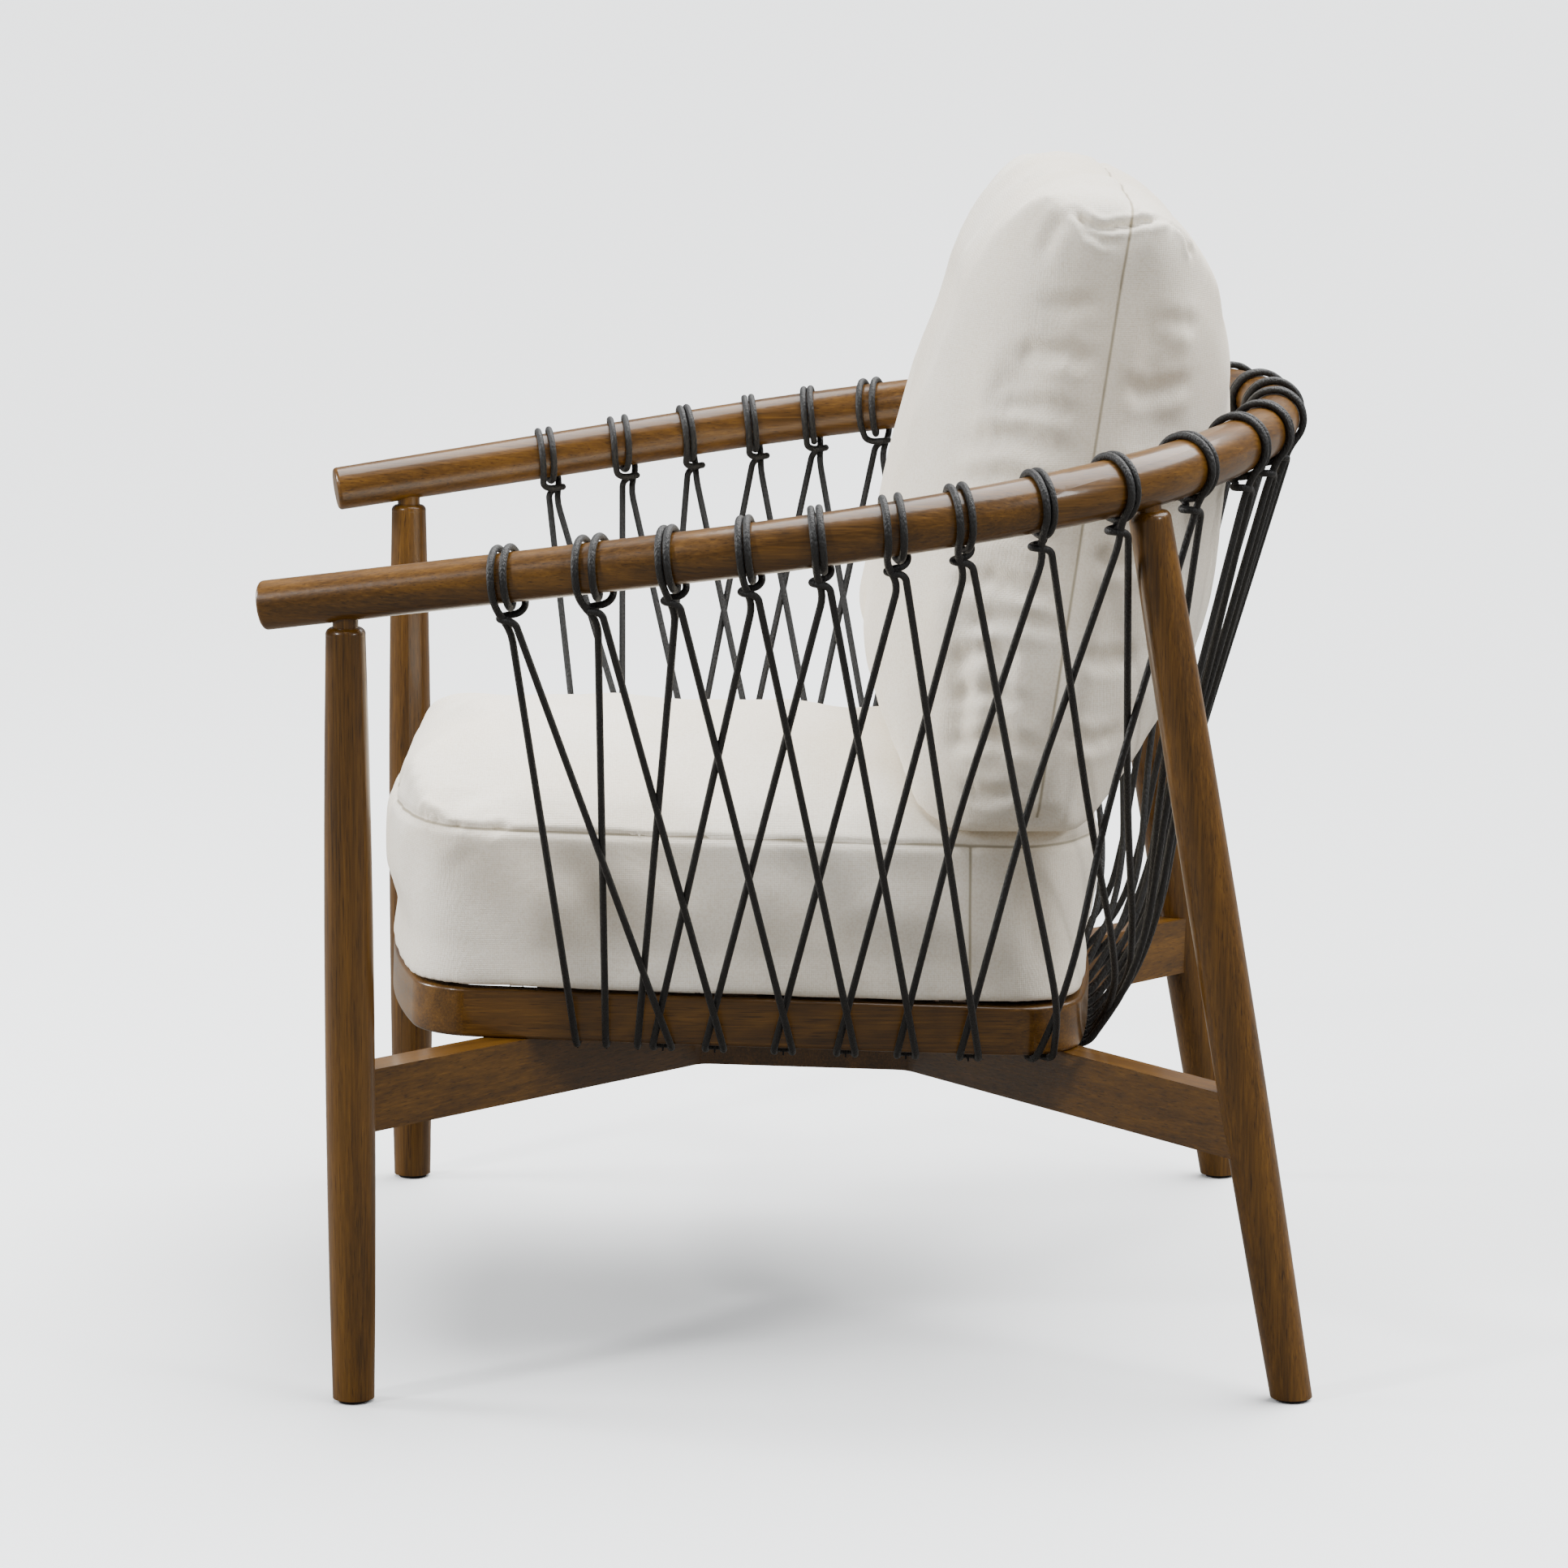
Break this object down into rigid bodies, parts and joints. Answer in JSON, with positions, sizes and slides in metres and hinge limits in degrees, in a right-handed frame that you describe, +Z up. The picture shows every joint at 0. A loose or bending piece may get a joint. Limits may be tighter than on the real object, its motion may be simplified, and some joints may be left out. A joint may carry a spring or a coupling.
{
  "type": "wooden armchair",
  "caption": "Low wooden armchair with a round horseshoe rail on turned legs, corded sides and back, a bowed seat frame on crossed boards and loose seat and back cushions.",
  "frame": {"origin": "on the floor under the middle of the chair's outer box", "axes": "+Z up, -Y towards the front of the seat, +X towards the sitter's left arm"},
  "size_m": [0.8782, 0.758, 0.8498],
  "materials": {
    "walnut": "satin lacquer",
    "beech_dowel": "raw",
    "steel_screw": "zinc plated",
    "steel_staple": "blackened",
    "webbing": "woven",
    "cord": "braided, waxed",
    "glide": "moulded",
    "cushion_cloth": "plain weave",
    "foam": "foam and fibre"
  },
  "bodies": {
    "root": {"left_arm_rail": "walnut", "right_arm_rail": "walnut", "back_rail": "walnut", "front_left_leg": "walnut", "front_right_leg": "walnut", "rear_left_leg": "walnut", "rear_right_leg": "walnut", "left_stretcher": "walnut", "right_stretcher": "walnut", "stretcher_tie": "walnut", "seat_front_rail": "walnut", "seat_rear_rail": "walnut", "seat_left_rail": "walnut", "seat_right_rail": "walnut", "rail_dowels": "beech_dowel", "seat_frame_dowels": "beech_dowel", "tie_dowels": "beech_dowel", "seat_frame_screws": "steel_screw", "webbing_long_straps": "webbing", "webbing_cross_straps": "webbing", "webbing_staples": "steel_staple", "lacing_cord_first": "cord", "lacing_cord_second": "cord", "lacing_cord_third": "cord", "lacing_staples": "steel_staple", "leg_glides": "glide"},
    "seat_cushion": {"seat_cushion_cover": "cushion_cloth", "seat_cushion_foam": "foam"},
    "back_cushion": {"back_cushion_cover": "cushion_cloth", "back_cushion_fill": "foam"}
  },
  "joints": [
    {"name": "seat_cushion_lift", "type": "slide", "parent": "root", "child": "seat_cushion", "axis": [0, 0, 1], "range_m": [0, 0.4]},
    {"name": "back_cushion_lift", "type": "slide", "parent": "seat_cushion", "child": "back_cushion", "axis": [0, 0, 1], "range_m": [0, 0.45]}
  ]
}
